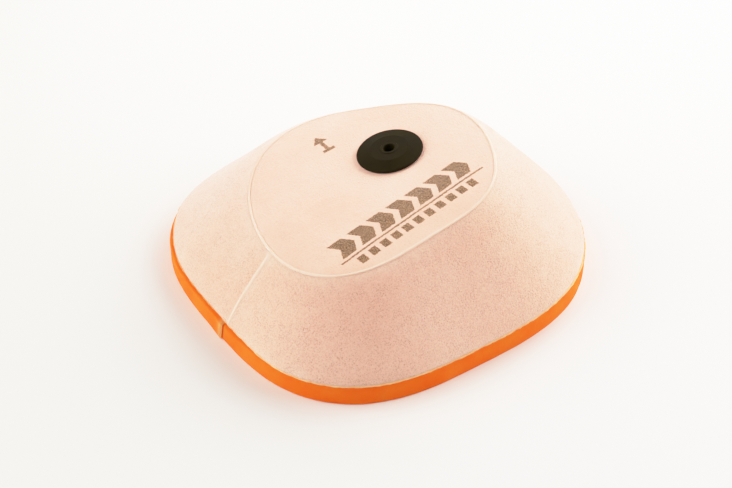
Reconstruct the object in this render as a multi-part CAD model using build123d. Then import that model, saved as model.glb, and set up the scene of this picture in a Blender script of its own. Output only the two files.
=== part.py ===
from build123d import *
import os
from math import atan, cos, pi, radians, sin, sqrt, tan

# Foam air filter element for a motorcycle air box: a tapered bell of two bonded foam
# layers, open underneath, with a dense foam seal ring round its base and a rubber
# washer for the pin bolt on its crown.
# Frame: origin on the floor under the middle of the seal ring, +Z up, +X towards the
# higher side of the crown. The side seam is on the -X side. All lengths in millimetres.

# Seal ring, a strip of dense foam laid flat and closed by one slanted joint
SEAL_HEIGHT = 12.0
SEAL_WIDTH = 20.0
SEAL_JOINT_Y = -2.5
SEAL_JOINT_SLANT = 20.0

# Outlines: a mean radius and gentle waves, each (lobes, depth, angle of the first lobe)
BASE_RADIUS = 106.5
BASE_WAVES = ((2, 4.3, -18), (3, 3.6, -11), (4, 3.5, 45), (5, 1.0, 0))
CROWN_RADIUS = 66.0
CROWN_WAVES = ((2, 1.8, 28), (3, 3.4, -21), (4, 1.6, 27), (5, 1.1, 13))

# Crown: its centre beside the base's, its height there and its slopes
CROWN_X = -6.5
CROWN_Y = 0.5
CROWN_HEIGHT = 57.5
CROWN_SLOPE_X = 0.166
CROWN_SLOPE_Y = -0.107

# Foam layers
OUTER_FOAM = 8.0
INNER_FOAM = 6.0
FOAM_SETBACK = 0.5

# Glue
GLUE_HALF = 0.5
GLUE_PROUD = 0.6
BASE_GLUE = 0.6
SIDE_SEAM_Y = -10.0
FILM = 0.3

# Washers and the bore for the 6 mm pin bolt. The top washer's collar lines the outer foam.
WASHER_X = 15.0
WASHER_Y = 10.0
BORE_RADIUS = 3.2
COLLAR_RADIUS = 5.0
WASHER_RADIUS = 18.0
WASHER_RIM = 1.6
WASHER_THICKNESS = 3.0
WASHER_FLAT_RADIUS = 10.5
WASHER_LIP_RADIUS = 5.0
WASHER_LIP = 0.25
COLLAR_CLEARANCE = 0.1
BACKING_RADIUS = 16.0
BACKING_THICKNESS = 2.0
FILM_RADIUS = 14.5

# Points of each outline's spline, steps of the search for its middle, size of cutting shapes
OUTLINE_POINTS = 36
MIDDLE_STEPS = 720
CUTTER = 300.0

FOAM_FOOT = SEAL_HEIGHT + BASE_GLUE
WALL_ANGLE = atan((CROWN_HEIGHT - FOAM_FOOT) / (BASE_RADIUS - FOAM_SETBACK - CROWN_RADIUS))
MITRE = tan(WALL_ANGLE / 2)
FOAM = OUTER_FOAM + INNER_FOAM


def wavy_radius(mean, waves, angle):
    """Radius of a wavy outline at one angle."""
    return mean + sum(depth * cos(lobes * (angle - radians(at))) for lobes, depth, at in waves)


def base_middle():
    """Middle of the base outline's own box, which becomes the origin."""
    angles = [2 * pi * step / MIDDLE_STEPS for step in range(MIDDLE_STEPS)]
    xs = [wavy_radius(BASE_RADIUS, BASE_WAVES, a) * cos(a) for a in angles]
    ys = [wavy_radius(BASE_RADIUS, BASE_WAVES, a) * sin(a) for a in angles]
    return (min(xs) + max(xs)) / 2, (min(ys) + max(ys)) / 2


MIDDLE_X, MIDDLE_Y = base_middle()


def outline(centre, mean, waves, inset, height):
    """Closed smooth wire of a wavy outline, drawn in by inset; height gives z at (x, y)."""
    points = []
    for step in range(OUTLINE_POINTS):
        angle = 2 * pi * step / OUTLINE_POINTS
        radius = wavy_radius(mean, waves, angle) - inset
        x = centre[0] + radius * cos(angle) - MIDDLE_X
        y = centre[1] + radius * sin(angle) - MIDDLE_Y
        points.append((x, y, height(x, y)))
    return Wire([Edge.make_spline([Vector(*p) for p in points], periodic=True)])


def crown_z(x, y, depth=0.0):
    """Height of the crown plane above (x, y), lowered by depth."""
    rise = CROWN_SLOPE_X * (x + MIDDLE_X - CROWN_X) + CROWN_SLOPE_Y * (y + MIDDLE_Y - CROWN_Y)
    return CROWN_HEIGHT + rise - depth


def base_outline(inset, z):
    return outline((0, 0), BASE_RADIUS, BASE_WAVES, inset, lambda x, y: z)


def crown_outline(inset, depth):
    centre = (CROWN_X, CROWN_Y)
    return outline(centre, CROWN_RADIUS, CROWN_WAVES, inset, lambda x, y: crown_z(x, y, depth))


def closed_ring(*wires):
    """Solid ring whose skin runs straight from each wire to the next and back to the first."""
    pairs = zip(wires, wires[1:] + wires[:1])
    faces = [Face.make_surface_from_curves(a.edge(), b.edge()) for a, b in pairs]
    return Solid(Shell(faces))


def base_strip(outer_inset, bottom, top):
    """Flat strip under the foam wall, from an outer inset to the seal's inner edge."""
    flat = Face(base_outline(outer_inset, bottom), [base_outline(SEAL_WIDTH, bottom)])
    return Solid.extrude(flat, Vector(0, 0, top - bottom))


def mitre_outline(depth, grow):
    """Crown outline at a depth on the mitre between crown and wall, grown outwards."""
    return crown_outline(depth * MITRE - grow, depth)


def wall_layer(upper, lower):
    """Ring of the sloping wall between two depths, up to the glue of the crown's mitre."""
    glue_drop = GLUE_HALF / (MITRE + 1 / tan(WALL_ANGLE))
    return closed_ring(
        base_outline(FOAM_SETBACK + upper / sin(WALL_ANGLE), FOAM_FOOT),
        mitre_outline(upper + glue_drop, GLUE_HALF),
        mitre_outline(lower + glue_drop, GLUE_HALF),
        base_outline(FOAM_SETBACK + lower / sin(WALL_ANGLE), FOAM_FOOT),
    )


def washer_plane(depth):
    """Plane of the crown under the washer, its z axis along the bore, lowered by depth."""
    x = WASHER_X - MIDDLE_X
    y = WASHER_Y - MIDDLE_Y
    normal = Vector(-CROWN_SLOPE_X, -CROWN_SLOPE_Y, 1).normalized()
    return Plane(origin=Vector(x, y, crown_z(x, y)) - normal * depth, z_dir=normal)


def hole(radius):
    """Cylinder along the pin bolt's axis, longer than the stack that it goes through."""
    return Solid.make_cylinder(radius, CUTTER, washer_plane(CUTTER / 2))


def disc(radius, hole_radius, bottom, top):
    """Round plate with a hole through it, between two heights over the crown."""
    plate = Solid.make_cylinder(radius, top - bottom, washer_plane(-bottom))
    return plate - hole(hole_radius)


def side_cutter():
    """Upright thin slab across the -X wall, where the band's two ends meet."""
    sheet = Box(CUTTER, 2 * GLUE_HALF, CUTTER, align=(Align.MAX, Align.CENTER, Align.CENTER))
    return Pos(0, SIDE_SEAM_Y - MIDDLE_Y, 0) * sheet


def seal_cutter():
    """Slanted thin slab across the -X side of the seal, where the strip's two ends meet."""
    sheet = Box(4 * SEAL_WIDTH, 2 * GLUE_HALF, CUTTER)
    middle_x = SEAL_WIDTH / 2 - BASE_RADIUS
    return Pos(middle_x, SEAL_JOINT_Y - MIDDLE_Y, 0) * Rot(0, 0, SEAL_JOINT_SLANT) * sheet


def seal_ring():
    return base_strip(0, 0, SEAL_HEIGHT) - seal_cutter()


def seal_joint_glue():
    return base_strip(0, 0, SEAL_HEIGHT) & seal_cutter()


def base_seam_glue():
    return base_strip(FOAM_SETBACK - GLUE_HALF, SEAL_HEIGHT, FOAM_FOOT)


def side_band(upper, lower):
    """One foam layer of the wall, cut open at the side seam."""
    return wall_layer(upper, lower) - side_cutter()


def side_seam_glue():
    return wall_layer(-GLUE_PROUD, FOAM) & side_cutter()


def top_panel(upper, lower, hole_radius):
    """One foam layer of the crown, a mitred disc with a round hole through it."""
    ends = [mitre_outline(upper, -GLUE_HALF), mitre_outline(lower, -GLUE_HALF)]
    return Solid.make_loft(ends, ruled=True) - hole(hole_radius)


def top_seam_glue():
    """Glue in the mitre all round the crown, standing a little proud outside."""
    return closed_ring(
        mitre_outline(-GLUE_PROUD, GLUE_HALF),
        mitre_outline(-GLUE_PROUD, -GLUE_HALF),
        mitre_outline(FOAM, -GLUE_HALF),
        mitre_outline(FOAM, GLUE_HALF),
    )


def along_bore(depth):
    """Distance along the bore that matches a depth straight down through the crown."""
    return depth / sqrt(1 + CROWN_SLOPE_X ** 2 + CROWN_SLOPE_Y ** 2)


def top_washer():
    """Bevelled washer: a rounded rim, a sloped band, a flat middle with a lip, a collar below."""
    rim_round = WASHER_RIM / 2
    collar_end = COLLAR_CLEARANCE - FILM - along_bore(OUTER_FOAM)
    with BuildPart() as washer:
        with BuildSketch(Plane.XZ):
            with BuildLine():
                Polyline(
                    (BORE_RADIUS, collar_end),
                    (COLLAR_RADIUS, collar_end),
                    (COLLAR_RADIUS, 0),
                    (WASHER_RADIUS - rim_round, 0),
                )
                ThreePointArc(
                    (WASHER_RADIUS - rim_round, 0),
                    (WASHER_RADIUS, rim_round),
                    (WASHER_RADIUS - rim_round, WASHER_RIM),
                )
                Polyline(
                    (WASHER_RADIUS - rim_round, WASHER_RIM),
                    (WASHER_FLAT_RADIUS, WASHER_THICKNESS),
                    (WASHER_LIP_RADIUS, WASHER_THICKNESS),
                    (WASHER_LIP_RADIUS - WASHER_LIP, WASHER_THICKNESS + WASHER_LIP),
                    (BORE_RADIUS + WASHER_LIP, WASHER_THICKNESS + WASHER_LIP),
                    (BORE_RADIUS, WASHER_THICKNESS),
                    (BORE_RADIUS, collar_end),
                )
            make_face()
        revolve(axis=Axis.Z)
    return washer_plane(-FILM).location * washer.part


def top_washer_glue():
    return disc(FILM_RADIUS, COLLAR_RADIUS, 0, FILM)


def backing_washer():
    top = -along_bore(FOAM) - FILM
    return disc(BACKING_RADIUS, BORE_RADIUS, top - BACKING_THICKNESS, top)


def backing_washer_glue():
    top = -along_bore(FOAM)
    return disc(FILM_RADIUS, BORE_RADIUS, top - FILM, top)


NODES = {
    "outer_side_band": side_band(0, OUTER_FOAM),
    "inner_side_band": side_band(OUTER_FOAM, FOAM),
    "outer_top_panel": top_panel(0, OUTER_FOAM, COLLAR_RADIUS),
    "inner_top_panel": top_panel(OUTER_FOAM, FOAM, BORE_RADIUS),
    "seal_ring": seal_ring(),
    "seal_joint_glue": seal_joint_glue(),
    "base_seam_glue": base_seam_glue(),
    "top_seam_glue": top_seam_glue(),
    "side_seam_glue": side_seam_glue(),
    "top_washer": top_washer(),
    "top_washer_glue": top_washer_glue(),
    "backing_washer": backing_washer(),
    "backing_washer_glue": backing_washer_glue(),
}

os.makedirs("parts", exist_ok=True)
for name, shape in NODES.items():
    export_step(Part(shape.solids()), f"parts/{name}.step")
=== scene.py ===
import math

import bpy
import numpy as np
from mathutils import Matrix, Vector


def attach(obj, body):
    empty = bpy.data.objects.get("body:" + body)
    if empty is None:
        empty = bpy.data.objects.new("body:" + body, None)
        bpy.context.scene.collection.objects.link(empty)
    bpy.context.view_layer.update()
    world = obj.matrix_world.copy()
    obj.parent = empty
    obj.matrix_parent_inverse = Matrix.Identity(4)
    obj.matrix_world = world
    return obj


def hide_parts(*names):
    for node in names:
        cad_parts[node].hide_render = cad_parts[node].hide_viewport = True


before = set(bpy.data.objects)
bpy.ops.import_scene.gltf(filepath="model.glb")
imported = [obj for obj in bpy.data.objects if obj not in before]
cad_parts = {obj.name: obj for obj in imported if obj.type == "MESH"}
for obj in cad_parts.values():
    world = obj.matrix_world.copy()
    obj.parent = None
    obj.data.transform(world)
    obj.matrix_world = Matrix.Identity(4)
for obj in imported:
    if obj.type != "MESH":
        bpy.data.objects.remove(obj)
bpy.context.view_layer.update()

# All lengths are in metres. The outlines and depths below repeat the CAD model's.
SEAL_HEIGHT = 0.012
SEAL_WIDTH = 0.020
SEAL_JOINT_Y = -0.0025
SEAL_JOINT_SLANT = math.radians(20)

BASE_RADIUS = 0.1065
BASE_WAVES = ((2, 0.0043, -18), (3, 0.0036, -11), (4, 0.0035, 45), (5, 0.0010, 0))
CROWN_RADIUS = 0.066
CROWN_WAVES = ((2, 0.0018, 28), (3, 0.0034, -21), (4, 0.0016, 27), (5, 0.0011, 13))
CROWN_X = -0.0065
CROWN_Y = 0.0005
CROWN_HEIGHT = 0.0575
CROWN_SLOPE_X = 0.166
CROWN_SLOPE_Y = -0.107

OUTER_FOAM = 0.008
INNER_FOAM = 0.006
FOAM = OUTER_FOAM + INNER_FOAM
FOAM_SETBACK = 0.0005
GLUE_HALF = 0.0005
BASE_GLUE = 0.0006
SIDE_SEAM_Y = -0.010
WASHER_RADIUS = 0.018
BORE_RADIUS = 0.0032
COLLAR_RADIUS = 0.005

FOAM_FOOT = SEAL_HEIGHT + BASE_GLUE
WALL_ANGLE = math.atan((CROWN_HEIGHT - FOAM_FOOT) / (BASE_RADIUS - FOAM_SETBACK - CROWN_RADIUS))
MITRE = math.tan(WALL_ANGLE / 2)
GLUE_DROP = GLUE_HALF / (MITRE + 1 / math.tan(WALL_ANGLE))

# Middle of the washer's hole, from the base outline's own centre
WASHER_X = 0.015
WASHER_Y = 0.010

# How far the soft surfaces swell past the CAD's straight ones, and the share of it that the
# wall loses at the side seam
WALL_PUFF = 0.0025
INNER_WALL_PUFF = 0.0010
CROWN_PUFF = 0.0014
SEAM_PINCH = 0.25

# Round this angle from +X the wall stands back from the seal's edge and swells less at its foot
SLACK_AT = math.radians(168)
SLACK_INSET = 0.0012

# Mesh steps round the filter, and rows of the faces that show and of those that are covered
STEPS_ROUND = 760
STRIP_STEPS = 620
SIDE_SEAM_STEPS = 90
WALL_ROWS = 84
COVERED_WALL_ROWS = 14
CROWN_ROWS = 78
COVERED_CROWN_ROWS = 16
EDGE_ROWS = 5
BORE_ROWS = 3
BEAD_ROWS = 11
SHEET_ROWS = 6

TURN = 2 * math.pi

# Camera: the direction that it looks in, from +Y towards +X and down, its distance and target
VIEW_AZIMUTH = math.radians(35.0)
VIEW_ELEVATION = math.radians(40.95)
VIEW_DISTANCE = 0.886
VIEW_TARGET = Vector((-0.0025, 0.0110, 0.0))
LENS = 78.7
SENSOR_WIDTH = 36.0

# Tone curve: where it leaves the straight line, and the scene level that its end stands for
SHOULDER_START = 0.6
SHOULDER_WHITE = 2.5


# ---------------------------------------------------------------- noise


def cell_value(cell, seed):
    """Repeatable value from 0 to 1 for each whole-number cell."""
    mixed = cell[..., 0] * 374761393 + cell[..., 1] * 668265263
    mixed = mixed + cell[..., 2] * 2147483629 + seed * 1274126177
    mixed = mixed.astype(np.uint64) & np.uint64(0xFFFFFFFF)
    mixed = ((mixed ^ (mixed >> np.uint64(13))) * np.uint64(1274126177)) & np.uint64(0xFFFFFFFF)
    mixed = mixed ^ (mixed >> np.uint64(16))
    return (mixed & np.uint64(0xFFFFFF)) / 0xFFFFFF


def noise(points, size, seed=1):
    """Smooth noise from -1 to 1 at 3-D points, with blobs about size across."""
    scaled = points / size + 1000.0
    cell = np.floor(scaled).astype(np.int64)
    part = scaled - cell
    part = part * part * (3 - 2 * part)
    total = 0.0
    for corner in np.ndindex(2, 2, 2):
        weight = 1.0
        for axis, side in enumerate(corner):
            share = part[..., axis]
            weight = weight * (share if side else 1 - share)
        total = total + weight * cell_value(cell + np.array(corner), seed)
    return 2 * total - 1


def smoothstep(low, high, value):
    """Eases from 0 at low to 1 at high."""
    share = np.clip((value - low) / (high - low), 0, 1)
    return share * share * (3 - 2 * share)


def bell(distance, width):
    """1 at no distance, falling away smoothly over about a width."""
    return np.exp(-((distance / width) ** 2))


# ---------------------------------------------------------------- outlines


def wavy_radius(mean, waves, angle):
    """Radius of a wavy outline at each angle."""
    return mean + sum(
        depth * np.cos(lobes * (angle - math.radians(at))) for lobes, depth, at in waves
    )


def base_middle():
    """Middle of the base outline's own box, which is the frame's origin."""
    steps = 720
    angle = np.arange(steps) * TURN / steps
    radius = wavy_radius(BASE_RADIUS, BASE_WAVES, angle)
    xs = radius * np.cos(angle)
    ys = radius * np.sin(angle)
    return (xs.min() + xs.max()) / 2, (ys.min() + ys.max()) / 2


MIDDLE_X, MIDDLE_Y = base_middle()
HOLE_X = WASHER_X - MIDDLE_X
HOLE_Y = WASHER_Y - MIDDLE_Y


def crown_z(x, y):
    """Height of the crown plane above (x, y)."""
    rise_x = CROWN_SLOPE_X * (x + MIDDLE_X - CROWN_X)
    rise_y = CROWN_SLOPE_Y * (y + MIDDLE_Y - CROWN_Y)
    return CROWN_HEIGHT + rise_x + rise_y


def base_points(angle, inset, z):
    """Points of the base outline, drawn in by inset, at height z."""
    radius = wavy_radius(BASE_RADIUS, BASE_WAVES, angle) - inset
    x = radius * np.cos(angle) - MIDDLE_X
    y = radius * np.sin(angle) - MIDDLE_Y
    return np.stack([x, y, np.broadcast_to(z, x.shape)], -1)


def crown_points(angle, inset, depth):
    """Points of the crown outline, drawn in by inset, at a depth under the crown plane."""
    radius = wavy_radius(CROWN_RADIUS, CROWN_WAVES, angle) - inset
    x = CROWN_X + radius * np.cos(angle) - MIDDLE_X
    y = CROWN_Y + radius * np.sin(angle) - MIDDLE_Y
    return np.stack([x, y, crown_z(x, y) - depth], -1)


def slack(angle):
    """1 where the wall's foot stands back, easing to 0 elsewhere."""
    return smoothstep(0.76, 0.93, np.cos(angle - SLACK_AT))


def foot_inset(angle):
    """How far the wall's foot stands back from the seal's outer edge."""
    return FOAM_SETBACK + SLACK_INSET * slack(angle)


def mitre_points(angle, depth, grow):
    """Crown outline at a depth on the mitre between crown and wall, grown outwards."""
    return crown_points(angle, depth * MITRE - grow, depth)


# ---------------------------------------------------------------- meshes


def unit(vectors):
    """Vectors scaled to a length of 1."""
    return vectors / np.maximum(np.linalg.norm(vectors, axis=-1, keepdims=True), 1e-12)


def all_round(steps=STEPS_ROUND):
    """Angles of a whole turn, without a repeat at its end."""
    return np.linspace(0, TURN, steps, endpoint=False)


def between(rows):
    """Shares strictly between 0 and 1, for rows that join two edges."""
    return np.linspace(0, 1, rows + 2)[1:-1]


def blend_rows(start, end, shares):
    """Rows of points from start to end, one for each share from 0 to 1."""
    return np.stack([start + (end - start) * share for share in shares])


def grid_normals(grid, closed):
    """Unit normals of a grid of rows; rows close on each other, and along too if closed."""
    across = np.roll(grid, -1, 0) - np.roll(grid, 1, 0)
    if closed:
        along = np.roll(grid, -1, 1) - np.roll(grid, 1, 1)
    else:
        along = np.gradient(grid, axis=1)
    return unit(np.cross(along, across))


def enclosed_volume(points, quads):
    """Signed volume inside the quads: negative when their faces look inwards."""
    corner = [points[quads[:, k]] - points.mean(0) for k in range(4)]
    first = np.einsum("ij,ij->i", corner[0], np.cross(corner[1], corner[2]))
    second = np.einsum("ij,ij->i", corner[0], np.cross(corner[2], corner[3]))
    return (first.sum() + second.sum()) / 6


def grid_object(name, grid, closed, material, tint=None):
    """Closed mesh of a grid whose rows run round a section. If it isn't closed along its
    columns too, its two ends get flat caps. tint is a value per point for the material."""
    rows, columns = grid.shape[:2]
    index = np.arange(rows * columns).reshape(rows, columns)
    below = np.roll(index, -1, 0)
    last = columns if closed else columns - 1
    right = np.roll(index, -1, 1)[:, :last]
    right_below = np.roll(below, -1, 1)[:, :last]
    quads = np.stack([index[:, :last], below[:, :last], right_below, right], -1).reshape(-1, 4)
    faces = quads.tolist()
    if not closed:
        faces.append(index[::-1, 0].tolist())
        faces.append(index[:, -1].tolist())
    points = grid.reshape(-1, 3)
    if enclosed_volume(points, quads) < 0:
        faces = [face[::-1] for face in faces]
    mesh = bpy.data.meshes.new(name)
    mesh.from_pydata(points.tolist(), [], faces)
    smooth = np.arange(len(faces)) < len(quads)
    mesh.polygons.foreach_set("use_smooth", smooth)
    if tint is not None:
        layer = mesh.attributes.new("tint", "FLOAT", "POINT")
        layer.data.foreach_set("value", tint.reshape(-1).astype(np.float32))
    mesh.materials.append(material)
    mesh.update()
    piece = bpy.data.objects.new(name, mesh)
    bpy.context.scene.collection.objects.link(piece)
    return piece


def foam_relief(points):
    """Uneven cut and coarse cells of a foam surface, as a height at each point."""
    sway = 0.00035 * noise(points, 0.045, 3)
    lumps = 0.00010 * noise(points, 0.009, 5)
    cells = 0.00007 * noise(points, 0.0022, 7)
    return sway + lumps + cells


def register(piece, node):
    """Hang a piece under the root body and hide the CAD node that it stands for."""
    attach(piece, "root")
    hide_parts(node)


# ---------------------------------------------------------------- materials


class Tree:
    """Short way to write a material's nodes: each call adds one node and fills its inputs."""

    def __init__(self, name):
        self.material = bpy.data.materials.new(name)
        self.material.use_nodes = True
        self.tree = self.material.node_tree
        self.tree.nodes.clear()

    def add(self, kind, inputs=None, **settings):
        """New node with its inputs linked or set, and its settings set."""
        node = self.tree.nodes.new("ShaderNode" + kind)
        for key, value in settings.items():
            setattr(node, key, value)
        for key, value in (inputs or {}).items():
            if isinstance(value, bpy.types.NodeSocket):
                self.tree.links.new(value, node.inputs[key])
            else:
                node.inputs[key].default_value = value
        return node

    def coordinates(self):
        """Places on the object in metres."""
        return self.add("TexCoord").outputs["Object"]

    def noise(self, vector, size, detail=2.0, roughness=0.5):
        """Smooth noise with blobs about size across."""
        inputs = {"Vector": vector, "Scale": 1 / size, "Detail": detail, "Roughness": roughness}
        return self.add("TexNoise", inputs).outputs[0]

    def cells(self, vector, size, feature="F1"):
        """Distance within round cells about size across."""
        inputs = {"Vector": vector, "Scale": 1 / size}
        return self.add("TexVoronoi", inputs, feature=feature).outputs["Distance"]

    def attribute(self, name):
        """Value kept on the mesh's points under this name."""
        return self.add("Attribute", attribute_name=name).outputs["Fac"]

    def math(self, operation, first, second=0.0):
        """One step of arithmetic."""
        return self.add("Math", {0: first, 1: second}, operation=operation).outputs[0]

    def product(self, first, second):
        """Two values multiplied."""
        return self.math("MULTIPLY", first, second)

    def remap(self, value, from_low, from_high, to_low=0.0, to_high=1.0):
        """Value moved from one range to another, and kept within it."""
        inputs = {0: value, 1: from_low, 2: from_high, 3: to_low, 4: to_high}
        return self.add("MapRange", inputs).outputs[0]

    def mix(self, share, first, second):
        """First colour where share is 0, second where it is 1."""
        inputs = {0: share, 6: first, 7: second}
        return self.add("Mix", inputs, data_type="RGBA").outputs[2]

    def bump(self, height, distance, strength):
        """Normal of a surface roughened by height."""
        inputs = {"Height": height, "Distance": distance, "Strength": strength}
        return self.add("Bump", inputs).outputs[0]

    def finish(self, **inputs):
        """The material, with one Principled shader; an underscore in a name is a space."""
        surface = self.add("BsdfPrincipled", {k.replace("_", " "): v for k, v in inputs.items()})
        self.add("OutputMaterial", {"Surface": surface.outputs[0]})
        return self.material


def linear(value):
    """Linear value of a display value, both from 0 to 1."""
    return value / 12.92 if value <= 0.04045 else ((value + 0.055) / 1.055) ** 2.4


def colour(red, green, blue):
    """Linear colour from the usual 0 to 255 values."""
    return tuple(linear(channel / 255) for channel in (red, green, blue)) + (1.0,)


def scaled(tone, factors):
    """A colour with each channel multiplied, kept within what a surface can reflect."""
    return tuple(min(channel * factor, 0.97) for channel, factor in zip(tone, factors)) + (1.0,)


def foam_material(name, pale, deep, glued, pore_size, contrast, printed=False):
    """Open-celled foam: dark pores, bright struts, a mottled tone, paler where glue soaked in."""
    tree = Tree(name)
    place = tree.coordinates()
    pores = tree.cells(place, pore_size)
    struts = tree.cells(place, pore_size * 1.3, "DISTANCE_TO_EDGE")
    fine = tree.noise(place, pore_size * 0.5, 1.0, 0.6)
    patches = tree.noise(place, 0.006, 2.0)
    cloudy = tree.noise(place, 0.040, 2.0)
    tone = tree.mix(tree.remap(cloudy, 0.35, 0.65), pale, deep)
    depth = tree.product(tree.remap(pores, 0.70, 0.25), tree.remap(fine, 0.35, 0.65))
    depth = tree.product(depth, tree.remap(patches, 0.30, 0.65, 0.45, 1.0))
    tone = tree.mix(tree.product(depth, contrast), tone, scaled(deep, (0.62, 0.56, 0.52)))
    bright = tree.product(tree.remap(struts, 0.16, 0.02), tree.remap(fine, 0.60, 0.35))
    strut_tone = scaled(pale, (1.0, 1.16, 1.24))
    tone = tree.mix(tree.product(bright, contrast * 0.8), tone, strut_tone)
    tone = tree.mix(tree.product(tree.attribute("tint"), 0.7), tone, glued)
    if printed:
        tone = print_ink(tree, place, tone, fine)
    height = tree.math("SUBTRACT", fine, depth)
    return tree.finish(
        Base_Color=tone,
        Roughness=0.95,
        Specular_IOR_Level=0.1,
        Subsurface_Weight=0.30,
        Subsurface_Radius=(1.0, 0.55, 0.40),
        Subsurface_Scale=0.005,
        Sheen_Weight=0.55,
        Sheen_Roughness=0.5,
        Sheen_Tint=(1.0, 0.97, 0.95, 1.0),
        Normal=tree.bump(height, 0.0005, 0.6),
    )


# Printed marks: a rule with flow chevrons above it and dashes below it, all turned slightly
# about the rule's middle, and an orientation arrow. Lengths are along and across the rule.
PRINT_X = -0.0113
PRINT_Y = -0.0436
PRINT_TURN = math.radians(4.5)
RULE_LENGTH = 0.0934
RULE_THICKNESS = 0.0010
CHEVRONS = 7
CHEVRON_PITCH = 0.0126
CHEVRON_SPAN = (0.0, 0.0088)
CHEVRON_LEAN = 0.55
CHEVRON_ABOVE = 0.0088
CHEVRON_HALF = 0.0066
CHEVRON_START = -0.0405
DASHES = 11
DASH_PITCH = 0.0072
DASH_SPAN = (0.0002, 0.0046)
DASH_BELOW = 0.0050
DASH_HALF = 0.0026
DASH_START = -0.0395
ARROW_X = -0.0102
ARROW_Y = 0.0420
ARROW_SLOPE = 0.72

# Ragged edge of the ink: bumps in a metre of it, and how far they stray
INK_BUMPS = 1100.0
INK_STRAY = 0.0012


def inside(tree, value, low, high, soft=0.0002):
    """Mask: 1 where value lies between low and high, with a slightly soft edge."""
    rising = tree.remap(value, low - soft, low + soft)
    falling = tree.remap(value, high - soft, high + soft, 1.0, 0.0)
    return tree.product(rising, falling)


def within(tree, value, high):
    """Mask: 1 where a distance is less than high."""
    return inside(tree, value, -1.0, high)


def both(tree, first, second):
    """Mask of where two masks overlap."""
    return tree.product(first, second)


def any_of(tree, *masks):
    """Mask of where any of the masks is."""
    result = masks[0]
    for mask in masks[1:]:
        result = tree.math("MAXIMUM", result, mask)
    return result


def row_of_marks(tree, along, start, pitch, span, count):
    """Mask of marks in a row: each covers the same span of every pitch from start on."""
    phase = tree.math("FLOORED_MODULO", tree.math("SUBTRACT", along, start), pitch)
    row_end = start + count * pitch - 0.001
    return both(tree, inside(tree, phase, *span), inside(tree, along, start, row_end))


def banner_mask(tree, along, above):
    """Mask of the rule, the chevrons above it and the dashes below it."""
    offset = tree.math("ABSOLUTE", tree.math("SUBTRACT", above, CHEVRON_ABOVE))
    leaning = tree.math("ADD", along, tree.product(offset, CHEVRON_LEAN))
    chevron_row = row_of_marks(
        tree, leaning, CHEVRON_START, CHEVRON_PITCH, CHEVRON_SPAN, CHEVRONS
    )
    chevrons = both(tree, chevron_row, within(tree, offset, CHEVRON_HALF))
    rule = both(
        tree,
        within(tree, tree.math("ABSOLUTE", above), RULE_THICKNESS / 2),
        within(tree, tree.math("ABSOLUTE", along), RULE_LENGTH / 2),
    )
    dash_row = row_of_marks(tree, along, DASH_START, DASH_PITCH, DASH_SPAN, DASHES)
    dash_band = inside(tree, above, -DASH_BELOW - DASH_HALF, -DASH_BELOW + DASH_HALF)
    return any_of(tree, chevrons, rule, both(tree, dash_row, dash_band))


def arrow_mask(tree, x, y):
    """Mask of an arrow that points along +Y from a short foot bar."""
    side = tree.math("ABSOLUTE", tree.math("SUBTRACT", x, ARROW_X))
    rise = tree.math("SUBTRACT", y, ARROW_Y)
    slope = tree.math("ADD", side, tree.product(rise, ARROW_SLOPE))
    shaft = both(tree, within(tree, side, 0.0011), inside(tree, rise, -0.0062, 0.0020))
    head = both(tree, within(tree, slope, 0.0048), inside(tree, rise, 0.0008, 0.0200))
    foot = both(tree, within(tree, side, 0.0036), inside(tree, rise, -0.0082, -0.0062))
    return any_of(tree, shaft, head, foot)


def print_ink(tree, place, tone, fine):
    """Brown ink of the printed marks: it soaks the foam and sits darker on its struts."""
    ragged = tree.add("TexNoise", {"Vector": place, "Scale": INK_BUMPS}).outputs[1]
    centred = tree.add("VectorMath", {0: ragged, 1: (0.5, 0.5, 0.5)}, operation="SUBTRACT")
    stray = {0: centred.outputs[0], "Scale": INK_STRAY}
    stray = tree.add("VectorMath", stray, operation="SCALE")
    moved = tree.add("VectorMath", {0: place, 1: stray.outputs[0]}, operation="ADD").outputs[0]
    axes = tree.add("SeparateXYZ", {0: moved})

    middle = (PRINT_X, PRINT_Y, 0.0)
    turned = {"Vector": moved, "Center": middle, "Angle": -PRINT_TURN}
    turned = tree.add("VectorRotate", turned, rotation_type="Z_AXIS")
    shifted = tree.add("VectorMath", {0: turned.outputs[0], 1: middle}, operation="SUBTRACT")
    print_axes = tree.add("SeparateXYZ", {0: shifted.outputs[0]})

    banner = banner_mask(tree, print_axes.outputs[0], print_axes.outputs[1])
    mask = any_of(tree, banner, arrow_mask(tree, axes.outputs[0], axes.outputs[1]))
    soaked = tree.mix(tree.product(mask, 0.75), tone, colour(196, 140, 70))
    share = tree.product(mask, tree.remap(fine, 0.42, 0.62, 1.0, 0.35))
    return tree.mix(share, soaked, colour(80, 52, 10))


def seal_material():
    """Dense orange foam: almost closed skin with fine cells, a slightly uneven tone, and painted
    light on the proud end of the strip.
    """
    tree = Tree("seal_foam_orange")
    place = tree.coordinates()
    cloudy = tree.noise(place, 0.012, 3.0)
    fine = tree.noise(place, 0.0006, 2.0, 0.7)
    cells = tree.cells(place, 0.0007)
    tone = tree.mix(tree.remap(cloudy, 0.3, 0.7), colour(255, 120, 32), colour(255, 106, 20))
    tone = tree.mix(tree.product(tree.remap(fine, 0.5, 0.8), 0.25), tone, colour(232, 84, 10))
    # Painted light: the last few millimetres of the strip's proud end are paler orange, standing
    # in for light shining through it
    lit_end = tree.product(tree.attribute("tint"), 0.7)
    tone = tree.mix(lit_end, tone, colour(255, 178, 112))
    height = tree.math("ADD", fine, tree.product(cells, -0.5))
    return tree.finish(
        Base_Color=tone,
        Roughness=0.85,
        Specular_IOR_Level=0.12,
        Subsurface_Weight=0.5,
        Subsurface_Radius=(1.0, 0.35, 0.08),
        Subsurface_Scale=0.006,
        Normal=tree.bump(height, 0.00025, 0.4),
    )


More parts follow.
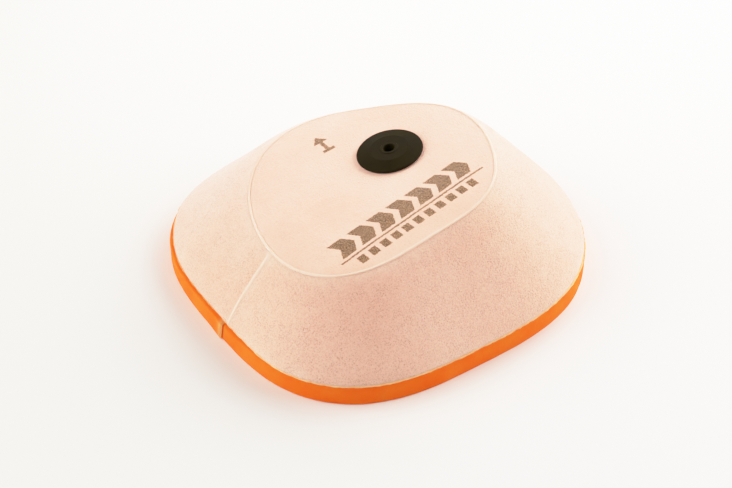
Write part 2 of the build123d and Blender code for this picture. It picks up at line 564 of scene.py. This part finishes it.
def glue_material(name, pale, deep, faint):
    """Set cream glue: smooth, a little waxy and uneven, fading to the tone below where thin."""
    tree = Tree(name)
    place = tree.coordinates()
    uneven = tree.noise(place, 0.003, 3.0)
    grain = tree.noise(place, 0.0007, 2.0)
    tone = tree.mix(tree.remap(uneven, 0.35, 0.65), pale, deep)
    tone = tree.mix(tree.product(tree.attribute("tint"), 0.9), tone, faint)
    height = tree.math("ADD", uneven, tree.product(grain, 0.4))
    return tree.finish(
        Base_Color=tone,
        Roughness=tree.remap(grain, 0.3, 0.7, 0.6, 0.85),
        Specular_IOR_Level=0.2,
        Subsurface_Weight=0.3,
        Subsurface_Radius=(1.0, 0.6, 0.4),
        Subsurface_Scale=0.003,
        Normal=tree.bump(height, 0.0003, 0.5),
    )


def rubber_material(name, dark, worn):
    """Moulded rubber: faint grain, an uneven tone, and a painted highlight that makes its sharp
    edges paler.
    """
    tree = Tree(name)
    place = tree.coordinates()
    cloudy = tree.noise(place, 0.011, 4.0, 0.6)
    grain = tree.noise(place, 0.00045, 3.0, 0.6)
    # Painted highlight: sharp edges, such as the lip round the hole, are mixed towards a pale
    # olive
    edge_highlight = tree.remap(tree.add("NewGeometry").outputs["Pointiness"], 0.51, 0.58)
    tone = tree.mix(tree.remap(cloudy, 0.3, 0.7), dark, worn)
    tone = tree.mix(tree.product(edge_highlight, 0.15), tone, colour(62, 56, 34))
    return tree.finish(
        Base_Color=tone,
        Roughness=tree.remap(cloudy, 0.3, 0.7, 0.45, 0.60),
        Specular_IOR_Level=0.05,
        Sheen_Weight=0.17,
        Sheen_Roughness=0.30,
        Sheen_Tint=(0.60, 0.50, 0.12, 1.0),
        Normal=tree.bump(grain, 0.00012, 0.35),
    )


BLUSH_PALE = colour(253, 198, 175)
BLUSH_DEEP = colour(250, 190, 166)
BLUSH_GLUED = colour(255, 206, 183)
# Painted shade: the crown's outer foam is the same blush foam as the wall's, given a slightly
# darker tone to offset the stronger light on top
CROWN_SHADED_PALE = colour(252, 194, 171)
CROWN_SHADED_DEEP = colour(249, 186, 162)
BUFF_PALE = colour(250, 226, 182)
BUFF_DEEP = colour(245, 217, 170)
BUFF_GLUED = colour(255, 236, 205)
CREAM = colour(255, 209, 188)
CREAM_DEEP = colour(254, 204, 181)
AMBER = colour(255, 206, 158)
AMBER_DEEP = colour(254, 188, 132)
AMBER_THIN = colour(255, 146, 70)
AMBER_DARK = colour(255, 170, 100)
AMBER_DARKER = colour(253, 154, 80)

COARSE = foam_material("coarse_foam_blush", BLUSH_PALE, BLUSH_DEEP, BLUSH_GLUED, 0.0009, 1.0)
# The printed crown takes the darker, painted-shade copy of the blush tone, and fainter pores,
# standing in for how bright light washes them out on top
PRINTED = foam_material(
    "coarse_foam_printed", CROWN_SHADED_PALE, CROWN_SHADED_DEEP, BLUSH_GLUED, 0.0009, 0.30, True
)
FINE = foam_material("fine_foam_cream", BUFF_PALE, BUFF_DEEP, BUFF_GLUED, 0.0007, 0.6)
SEAL = seal_material()
GLUE = glue_material("seam_glue_cream", CREAM, CREAM_DEEP, BLUSH_PALE)
FOOT_GLUE = glue_material("foot_glue_amber", AMBER, AMBER_DEEP, AMBER_THIN)
SEAL_GLUE = glue_material("seal_glue_amber", AMBER_DARK, AMBER_DARKER, AMBER_DEEP)
WASHER = rubber_material("washer_rubber_olive", colour(28, 20, 2), colour(36, 28, 5))
BACKING = rubber_material("backing_plastic_black", colour(30, 30, 29), colour(40, 40, 38))


# ---------------------------------------------------------------- foam wall


# Length of the wall from foot to brow, by which the paler foam near the brow is placed
WALL_LENGTH = 0.060


def seam_angle(centre_y, mean, waves):
    """Angle near the -X side at which an outline crosses the side seam."""
    low, high = math.pi * 0.8, math.pi * 1.2
    for _ in range(50):
        middle = (low + high) / 2
        if centre_y + wavy_radius(mean, waves, middle) * math.sin(middle) > SIDE_SEAM_Y:
            low = middle
        else:
            high = middle
    return (low + high) / 2


def wall_angles(steps, half_gap):
    """Angles round the base and round the crown, from one side of the side seam to the other."""
    at_base = seam_angle(0.0, BASE_RADIUS, BASE_WAVES)
    at_crown = seam_angle(CROWN_Y, CROWN_RADIUS, CROWN_WAVES)
    share = np.linspace(0, 1, steps)
    gap_base = half_gap / BASE_RADIUS
    gap_crown = half_gap / CROWN_RADIUS
    base = at_base + gap_base + share * (TURN - 2 * gap_base)
    near_seam = np.minimum(share, 1 - share) * TURN
    pull = bell(near_seam, 0.7)
    crown = base + (at_crown - at_base) * pull
    crown = crown + np.where(share < 0.5, 1, -1) * (gap_crown - gap_base) * pull
    return base, crown


def wall_edges(base, crown, depth):
    """Foot and brow of the wall at a depth under its face."""
    foot = base_points(base, foot_inset(base) + depth / math.sin(WALL_ANGLE), FOAM_FOOT)
    brow = mitre_points(crown, depth + GLUE_DROP, GLUE_HALF)
    return foot, brow


def swollen(shares, angle):
    """Swelling from the wall's foot to its brow: none at the edges, soonest full at the foot."""
    power = np.where(shares < 0.5, 10.0 - 7.0 * slack(angle), 4.0)
    return 1 - np.abs(2 * shares - 1) ** power


def soften_foot(rows):
    """Draw the wall's lower edge in a little and leave it ragged, as cut foam is."""
    inwards = unit(-rows * np.array([1, 1, 0]))
    rows = rows + inwards * (0.0003 * bell(rows[..., 2] - FOAM_FOOT, 0.0007))[..., None]
    ragged = np.maximum(0.00018 + 0.00024 * noise(rows, 0.0016, 9), 0)
    rows[..., 2] += ragged * bell(rows[..., 2] - FOAM_FOOT, 0.0012)
    return rows


def wall_tint(grid_shape, shares, from_seam):
    """How pale glue makes the wall: at its brow, beside the side seam and where the two meet."""
    from_brow = np.ones(grid_shape)
    from_brow[:len(shares)] = (1 - shares)[:, None] * WALL_LENGTH
    brow = np.maximum(bell(from_brow, 0.0006), 0.45 * bell(from_brow, 0.006))
    side = bell(from_seam, 0.0008)[None, :]
    fork = bell(from_seam, 0.009)[None, :] * bell(from_brow, 0.010)
    return np.maximum(np.maximum(brow, side), fork)


def wall_layer(name, upper, lower, material, shows_outside):
    """One foam layer of the wall, whose outer or else inner face is in view."""
    base, crown = wall_angles(STEPS_ROUND, GLUE_HALF)
    foot_out, brow_out = wall_edges(base, crown, upper)
    foot_in, brow_in = wall_edges(base, crown, lower)
    out_shares = np.linspace(0, 1, WALL_ROWS if shows_outside else COVERED_WALL_ROWS)
    in_shares = np.linspace(0, 1, COVERED_WALL_ROWS if shows_outside else WALL_ROWS)
    grid = np.concatenate([
        blend_rows(foot_out, brow_out, out_shares),
        blend_rows(brow_out, brow_in, between(EDGE_ROWS)),
        blend_rows(brow_in, foot_in, in_shares),
        blend_rows(foot_in, foot_out, between(EDGE_ROWS)),
    ])
    outer_rows = slice(0, len(out_shares))
    if shows_outside:
        rows, shares, puff = outer_rows, out_shares, WALL_PUFF
    else:
        start = len(out_shares) + EDGE_ROWS
        rows, shares, puff = slice(start, start + len(in_shares)), in_shares, INNER_WALL_PUFF
    swell = np.zeros(grid.shape[:2])
    swell[rows] = puff * swollen(shares[:, None], base)
    relief = np.zeros(len(grid))
    relief[rows] = smoothstep(0, 0.05, shares) * smoothstep(0, 0.05, 1 - shares)
    from_seam = np.minimum(base - base[0], base[-1] - base) * BASE_RADIUS
    pinch = 1 - SEAM_PINCH * bell(from_seam, 0.005)
    amount = swell * pinch + relief[:, None] * foam_relief(grid)
    grid = grid + grid_normals(grid, False) * amount[..., None]
    if shows_outside:
        grid[outer_rows] = soften_foot(grid[outer_rows])
    tint = wall_tint(grid.shape[:2], out_shares, from_seam)
    return grid_object(name, grid, False, material, tint)


# ---------------------------------------------------------------- foam crown


def crown_face(depth, hole_radius, row_count):
    """Rows of one face of a crown layer, from its hole out to its seam."""
    edge = mitre_points(all_round(), depth, -GLUE_HALF)
    from_hole = np.arctan2(edge[:, 1] - HOLE_Y, edge[:, 0] - HOLE_X)
    x = HOLE_X + hole_radius * np.cos(from_hole)
    y = HOLE_Y + hole_radius * np.sin(from_hole)
    hole = np.stack([x, y, crown_z(x, y) - depth], -1)
    return blend_rows(hole, edge, np.linspace(0, 1, row_count))


def crown_layer(name, upper, lower, hole_radius, material, shows_outside):
    """One foam layer of the crown, whose outer or else inner face is in view."""
    top = crown_face(upper, hole_radius, CROWN_ROWS if shows_outside else COVERED_CROWN_ROWS)
    bottom = crown_face(lower, hole_radius, COVERED_CROWN_ROWS if shows_outside else CROWN_ROWS)
    bottom = bottom[::-1]
    side = blend_rows(top[-1], bottom[0], between(EDGE_ROWS))
    bore = blend_rows(bottom[-1], top[0], between(BORE_ROWS))
    grid = np.concatenate([top, side, bottom, bore])
    swell = np.zeros(grid.shape[:2])
    relief = np.zeros(grid.shape[:2])
    tint = np.zeros(grid.shape[:2])
    bottom_start = len(top) + len(side)
    faces = (
        (slice(0, len(top)), top, top[-1], shows_outside),
        (slice(bottom_start, bottom_start + len(bottom)), bottom, bottom[0], not shows_outside),
    )
    for rows, face, edge, in_view in faces:
        from_edge = np.linalg.norm(face - edge, axis=-1)
        tint[rows] = bell(from_edge, 0.0006)
        if in_view:
            from_hole = np.hypot(face[..., 0] - HOLE_X, face[..., 1] - HOLE_Y)
            free = smoothstep(WASHER_RADIUS - 0.001, WASHER_RADIUS + 0.034, from_hole)
            swell[rows] = CROWN_PUFF * free * (1 - np.exp(-((from_edge / 0.012) ** 1.4)))
            relief[rows] = free * smoothstep(0, 0.003, from_edge)
    # The normals of this grid point inwards
    amount = swell + relief * foam_relief(grid)
    grid = grid - grid_normals(grid, True) * amount[..., None]
    return grid_object(name, grid, True, material, tint)


# ---------------------------------------------------------------- glue


# Where the crown's glue line runs thinnest and where the foot's is palest, round from +X
CROWN_THIN_AT = math.radians(72)
FOOT_PALE_AT = math.radians(250)

# How far a bead's edges sink into the foam, and the depth and half thickness at the top of
# the thin sheet below it
BEAD_SINK = 0.00004
CROWN_SHEET_TOP = 0.0012
SIDE_SHEET_TOP = 0.001
SHEET_HALF = 0.9 * GLUE_HALF

# Overlap of the foot's glue with what it joins
FOOT_OVERLAP = 0.00005


def bead_rows(line, across, lift, width, height):
    """Rows of a low rounded ridge along a line, its two edges a little sunk."""
    rows = []
    for turn in np.linspace(0, math.pi, BEAD_ROWS):
        sideways = across * (width * math.cos(turn))[:, None]
        rise = lift * (height * math.sin(turn) ** 2 - BEAD_SINK)[:, None]
        rows.append(line + sideways + rise)
    return np.stack(rows)


def crown_bead():
    """Raised glue line round the crown and its thin sheet through the mitre."""
    angle = all_round()
    seam = mitre_points(angle, 0.0, 0.0)
    outer = unit(mitre_points(angle, 0.0, 0.001) - seam)
    up = unit(np.array([-CROWN_SLOPE_X, -CROWN_SLOPE_Y, 1.0]))
    lift = unit(up + 0.45 * outer)
    across = unit(np.cross(np.roll(seam, -1, 0) - np.roll(seam, 1, 0), lift))
    thin = smoothstep(0.05, 0.45, np.cos(angle - CROWN_THIN_AT))
    width = 1 + 0.12 * noise(seam, 0.012, 11) + 0.08 * noise(seam, 0.004, 12)
    height = 1 + 0.20 * noise(seam, 0.009, 13) + 0.15 * noise(seam, 0.003, 14)
    width = 0.00072 * width
    height = (0.00034 - 0.00020 * thin) * height
    inner_top = mitre_points(angle, CROWN_SHEET_TOP, -SHEET_HALF)
    outer_top = mitre_points(angle, CROWN_SHEET_TOP, SHEET_HALF)
    shares = np.linspace(0, 1, SHEET_ROWS)
    grid = np.concatenate([
        bead_rows(seam, across, lift, width, height),
        blend_rows(inner_top, mitre_points(angle, FOAM, -GLUE_HALF), shares),
        blend_rows(mitre_points(angle, FOAM, GLUE_HALF), outer_top, shares),
    ])
    tint = np.broadcast_to(thin, grid.shape[:2])
    return grid_object("glue_bead_crown", grid, True, GLUE, tint)


def side_bead():
    """Raised glue line down the side seam and its thin sheet through both layers."""
    base, crown = wall_angles(2, 0.0)
    foot_inset_here = foot_inset(base[:1])
    foot = base_points(base[:1], foot_inset_here, FOAM_FOOT)[0]
    brow = mitre_points(crown[:1], GLUE_DROP, GLUE_HALF)[0]
    deep_inset = foot_inset_here + FOAM / math.sin(WALL_ANGLE)
    deep_foot = base_points(base[:1], deep_inset, FOAM_FOOT)[0]
    deep_brow = mitre_points(crown[:1], FOAM, GLUE_HALF)[0]
    shares = np.linspace(0, 1, SIDE_SEAM_STEPS)
    across = np.array([0.0, 1.0, 0.0])
    outwards = unit(np.cross(brow - foot, across))
    puff = WALL_PUFF * (1 - SEAM_PINCH) * swollen(shares, base[0])
    line = foot + (brow - foot) * shares[:, None]
    line = line + outwards * puff[:, None]
    line = line + across * (0.0003 * noise(line, 0.014, 21))[:, None]
    width = (0.00085 + 0.0005 * shares) * (1 + 0.20 * noise(line, 0.008, 22))
    width = width + 0.0012 * smoothstep(0.90, 1.0, shares)
    height = 0.00034 * (1 + 0.20 * noise(line, 0.006, 23))
    deep = deep_foot + (deep_brow - deep_foot) * shares[:, None]
    sheet_top = line - outwards * SIDE_SHEET_TOP
    half = across * SHEET_HALF
    sheet_shares = np.linspace(0, 1, SHEET_ROWS)
    grid = np.concatenate([
        bead_rows(line, across, outwards, width, height),
        blend_rows(sheet_top - half, deep - half, sheet_shares),
        blend_rows(deep + half, sheet_top + half, sheet_shares),
    ])
    grid[..., 2] = np.maximum(grid[..., 2], FOAM_FOOT)
    return grid_object("glue_bead_side", grid, False, GLUE)


def foot_bead():
    """Glue squeezed out between the foam wall and the seal, a thin uneven light line."""
    angle = all_round()
    edge = base_points(angle, FOAM_SETBACK, SEAL_HEIGHT)
    squeeze = 0.00025 + 0.00030 * noise(edge, 0.0045, 31) + 0.00032 * noise(edge, 0.0018, 32)
    setback = foot_inset(angle) + 0.0004 * slack(angle) - squeeze
    crest = 0.00018 * (1 + 0.9 * noise(edge, 0.003, 33))
    inner = SEAL_WIDTH - 0.0004
    sections = (
        (setback, SEAL_HEIGHT + FOOT_OVERLAP),
        (setback - 0.0002, SEAL_HEIGHT + 0.5 * BASE_GLUE),
        (setback + 0.0001, FOAM_FOOT + crest * 0.6),
        (setback + squeeze + 0.0005, FOAM_FOOT + crest),
        (setback + squeeze + 0.0014, FOAM_FOOT - FOOT_OVERLAP),
        (inner, FOAM_FOOT - FOOT_OVERLAP),
        (inner, SEAL_HEIGHT + FOOT_OVERLAP),
    )
    grid = np.stack([base_points(angle, inset, height) for inset, height in sections])
    thin = 1 - smoothstep(0.2, 0.6, np.cos(angle - FOOT_PALE_AT))
    tint = np.broadcast_to(thin, grid.shape[:2])
    return grid_object("glue_line_foot", grid, True, FOOT_GLUE, tint)


# ---------------------------------------------------------------- seal


# How far the strip's one end stands out at the joint, and how far its other end stands in
SEAL_STEP = 0.0008
SEAL_TUCK = 0.0002

# How far the joint leans over the seal's height, and half of its glue film as an angle
SEAL_JOINT_LEAN = 0.0024
SEAL_GAP = GLUE_HALF / BASE_RADIUS

# Rounded corners of the strip's section: radius, steps, and each centre with its start in degrees
SEAL_CORNER = 0.0011
CORNER_STEPS = 4
SEAL_CORNERS = (
    (SEAL_CORNER, SEAL_HEIGHT - SEAL_CORNER, 180),
    (SEAL_WIDTH - SEAL_CORNER, SEAL_HEIGHT - SEAL_CORNER, 90),
    (SEAL_WIDTH - SEAL_CORNER, SEAL_CORNER, 0),
    (SEAL_CORNER, SEAL_CORNER, -90),
)
UPRIGHT_PARTS = 8
LEVEL_PARTS = 12


def on_corner(centre, degrees):
    """Place (inset, height) on the rounded corner round a centre."""
    turn = math.radians(degrees)
    return centre[0] + SEAL_CORNER * math.cos(turn), centre[1] + SEAL_CORNER * math.sin(turn)


def seal_sections():
    """Places (inset, height) round the strip's section."""
    places = []
    for number, corner in enumerate(SEAL_CORNERS):
        for step in range(CORNER_STEPS + 1):
            places.append(on_corner(corner, corner[2] - step * 90 / CORNER_STEPS))
        following = SEAL_CORNERS[(number + 1) % len(SEAL_CORNERS)]
        inset, height = places[-1]
        next_inset, next_height = on_corner(following, following[2])
        parts = LEVEL_PARTS if number % 2 == 0 else UPRIGHT_PARTS
        for part in range(1, parts):
            share = part / parts
            part_inset = inset + (next_inset - inset) * share
            places.append((part_inset, height + (next_height - height) * share))
    return places


def seal_joint_angle(inset, height):
    """Angle of the strip's slanted joint at a place in its section."""
    lean = (0.5 - height / SEAL_HEIGHT) * SEAL_JOINT_LEAN
    y = SEAL_JOINT_Y + (inset - SEAL_WIDTH / 2) * math.tan(SEAL_JOINT_SLANT) + lean
    return math.pi - y / (wavy_radius(BASE_RADIUS, BASE_WAVES, math.pi) - inset)


def outer_share(inset):
    """1 at the strip's outer side, easing to 0 at its inner side."""
    return 1 - smoothstep(0, SEAL_WIDTH, inset)


def seal_strip():
    """The seal: one strip bent round, its two ends meeting at a slanted joint."""
    share = np.linspace(0, 1, STRIP_STEPS)
    rows = []
    lit_end = []
    for inset, height in seal_sections():
        start = seal_joint_angle(inset, height)
        angle = start + SEAL_GAP + share * (TURN - 2 * SEAL_GAP)
        from_start = (angle - start) * BASE_RADIUS
        from_end = (TURN - (angle - start)) * BASE_RADIUS
        outer = outer_share(inset)
        flare = SEAL_STEP * bell(from_end, 0.006) * outer
        tuck = SEAL_TUCK * bell(from_start, 0.010) * outer
        points = base_points(angle, inset - flare + tuck, height)
        sway = 0.00025 * noise(points, 0.030, 41) + 0.00012 * noise(points, 0.008, 42)
        points = base_points(angle, inset - flare + tuck - sway * outer, height)
        if height > SEAL_HEIGHT * 0.6 and inset < SEAL_WIDTH * 0.2:
            points[:, 2] += 0.00018 * noise(points, 0.012, 43) - 0.0001
        rows.append(points)
        # Painted light on the proud end: its paler orange fades over a few millimetres from the
        # joint
        lit_end.append(bell(from_end, 0.0030))
    grid = np.stack(rows)
    cells = 0.00005 * noise(grid, 0.0016, 44)
    cells = cells * (grid[..., 2] > 0.0006)
    grid = grid + grid_normals(grid, False) * cells[..., None]
    return grid_object("seal_strip_foam", grid, False, SEAL, np.stack(lit_end))


def seal_joint_film():
    """Thin glue film between the strip's two slanted ends, flush with the proud one."""
    follow = SEAL_STEP * np.array([1.0, 1.0, 1.0, 0.95, 0.7])
    rows = []
    for inset, height in seal_sections():
        middle = seal_joint_angle(inset, height)
        angle = middle + np.linspace(-SEAL_GAP, SEAL_GAP, len(follow))
        shown_height = min(max(height, 0.0002), SEAL_HEIGHT - 0.0002)
        rows.append(base_points(angle, inset - follow * outer_share(inset), shown_height))
    return grid_object("glue_film_seal_joint", np.stack(rows), False, SEAL_GLUE)


# ---------------------------------------------------------------- pieces

outer_wall = wall_layer("foam_wall_outer", 0.0, OUTER_FOAM, COARSE, True)
inner_wall = wall_layer("foam_wall_inner", OUTER_FOAM, FOAM, FINE, False)
outer_crown = crown_layer("foam_crown_outer", 0.0, OUTER_FOAM, COLLAR_RADIUS, PRINTED, True)
inner_crown = crown_layer("foam_crown_inner", OUTER_FOAM, FOAM, BORE_RADIUS, FINE, False)
seal = seal_strip()

register(outer_wall, "outer_side_band")
register(inner_wall, "inner_side_band")
register(outer_crown, "outer_top_panel")
register(inner_crown, "inner_top_panel")
register(seal, "seal_ring")
register(crown_bead(), "top_seam_glue")
register(side_bead(), "side_seam_glue")
register(foot_bead(), "base_seam_glue")
register(seal_joint_film(), "seal_joint_glue")

# The washers and their glue films keep their CAD meshes
KEPT_MATERIALS = {
    "top_washer": WASHER,
    "backing_washer": BACKING,
    "top_washer_glue": GLUE,
    "backing_washer_glue": GLUE,
}
for node, material in KEPT_MATERIALS.items():
    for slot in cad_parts[node].material_slots:
        slot.material = material


# ---------------------------------------------------------------- floor, light and camera

# Lights: azimuth from +X and elevation in degrees, distance, side of the square, power in watts.
# The camera looks along azimuth 55 degrees. They stand to its right, beyond the filter, to its
# left and beside the camera. The two near ones make the far side of the foam palest.
LIGHTS = {
    "right_light": (-30, 28, 1.6, 1.2, 24.0),
    "back_right_light": (10, 35, 1.6, 1.2, 11.0),
    "near_right_light": (22, 36, 0.60, 0.4, 1.6),
    "near_back_light": (72, 34, 0.42, 0.25, 0.44),
    "left_light": (154, 28, 1.6, 1.5, 32.0),
    "front_fill": (-125, 45, 1.6, 1.2, 3.2),
}

# Half of the floor's side, and the direction to the picture's right, in which its painted shade
# fades and it grows paler
FLOOR_HALF = 6.0
PICTURE_RIGHT = (0.819, -0.574, 0.0)


def floor_material():
    """Pale paper with painted shade, a little greyer towards the picture's left."""
    tree = Tree("floor_pale")
    place = tree.coordinates()
    sideways = tree.add("VectorMath", {0: place, 1: PICTURE_RIGHT}, operation="DOT_PRODUCT")
    # Painted shade: the floor's colour darkens towards the picture's left
    across = tree.remap(sideways.outputs["Value"], -0.26, 0.24)
    tone = tree.mix(across, colour(240, 236, 226), colour(252, 247, 241))
    return tree.finish(Base_Color=tone, Roughness=0.9, Specular_IOR_Level=0.1)


def add_floor():
    """Large plain floor at z = 0."""
    low, high = -FLOOR_HALF, FLOOR_HALF
    corners = [(low, low, 0), (high, low, 0), (high, high, 0), (low, high, 0)]
    mesh = bpy.data.meshes.new("floor")
    mesh.from_pydata(corners, [], [(0, 1, 2, 3)])
    mesh.materials.append(floor_material())
    floor = bpy.data.objects.new("floor", mesh)
    bpy.context.scene.collection.objects.link(floor)


def add_light(name, azimuth, elevation, distance, size, power):
    """Soft square light on a sphere round the object, facing its middle."""
    light = bpy.data.lights.new(name, "AREA")
    light.shape = "SQUARE"
    light.size = size
    light.energy = power
    around = math.radians(azimuth)
    above = math.radians(elevation)
    direction = Vector((
        math.cos(above) * math.cos(around),
        math.cos(above) * math.sin(around),
        math.sin(above),
    ))
    lamp = bpy.data.objects.new(name, light)
    lamp.location = direction * distance
    lamp.rotation_euler = direction.to_track_quat("Z", "Y").to_euler()
    bpy.context.scene.collection.objects.link(lamp)


def add_camera():
    """Camera that looks down on the filter across its -X, -Y corner."""
    ahead = Vector((
        math.cos(VIEW_ELEVATION) * math.sin(VIEW_AZIMUTH),
        math.cos(VIEW_ELEVATION) * math.cos(VIEW_AZIMUTH),
        -math.sin(VIEW_ELEVATION),
    ))
    data = bpy.data.cameras.new("camera")
    data.lens = LENS
    data.sensor_width = SENSOR_WIDTH
    camera = bpy.data.objects.new("camera", data)
    camera.location = VIEW_TARGET - ahead * VIEW_DISTANCE
    camera.rotation_euler = ahead.to_track_quat("-Z", "Y").to_euler()
    bpy.context.scene.collection.objects.link(camera)
    bpy.context.scene.camera = camera


def add_world():
    """Faint even light from all round."""
    world = bpy.data.worlds.new("studio")
    world.use_nodes = True
    background = world.node_tree.nodes["Background"]
    background.inputs["Color"].default_value = (1.0, 0.995, 0.985, 1.0)
    background.inputs["Strength"].default_value = 0.10
    bpy.context.scene.world = world


def shoulder(value):
    """Straight up to the shoulder, then easing towards white."""
    if value < SHOULDER_START:
        return value
    room = 1.0 - SHOULDER_START
    return SHOULDER_START + room * (1 - math.exp(-(value - SHOULDER_START) / room))


def set_view():
    """Plain display transform with a soft shoulder, so bright foam pales instead of clipping."""
    view = bpy.context.scene.view_settings
    view.view_transform = "Standard"
    view.use_curve_mapping = True
    mapping = view.curve_mapping
    mapping.white_level = (SHOULDER_WHITE,) * 3
    curve = mapping.curves[3]
    for level in (0.1, 0.2, 0.3, 0.4, 0.5, 0.6, 0.8):
        curve.points.new(level, shoulder(level * SHOULDER_WHITE))
    curve.points[-1].location = (1.0, shoulder(SHOULDER_WHITE))
    mapping.update()


add_floor()
add_world()
for light_name, placing in LIGHTS.items():
    add_light(light_name, *placing)
add_camera()
set_view()
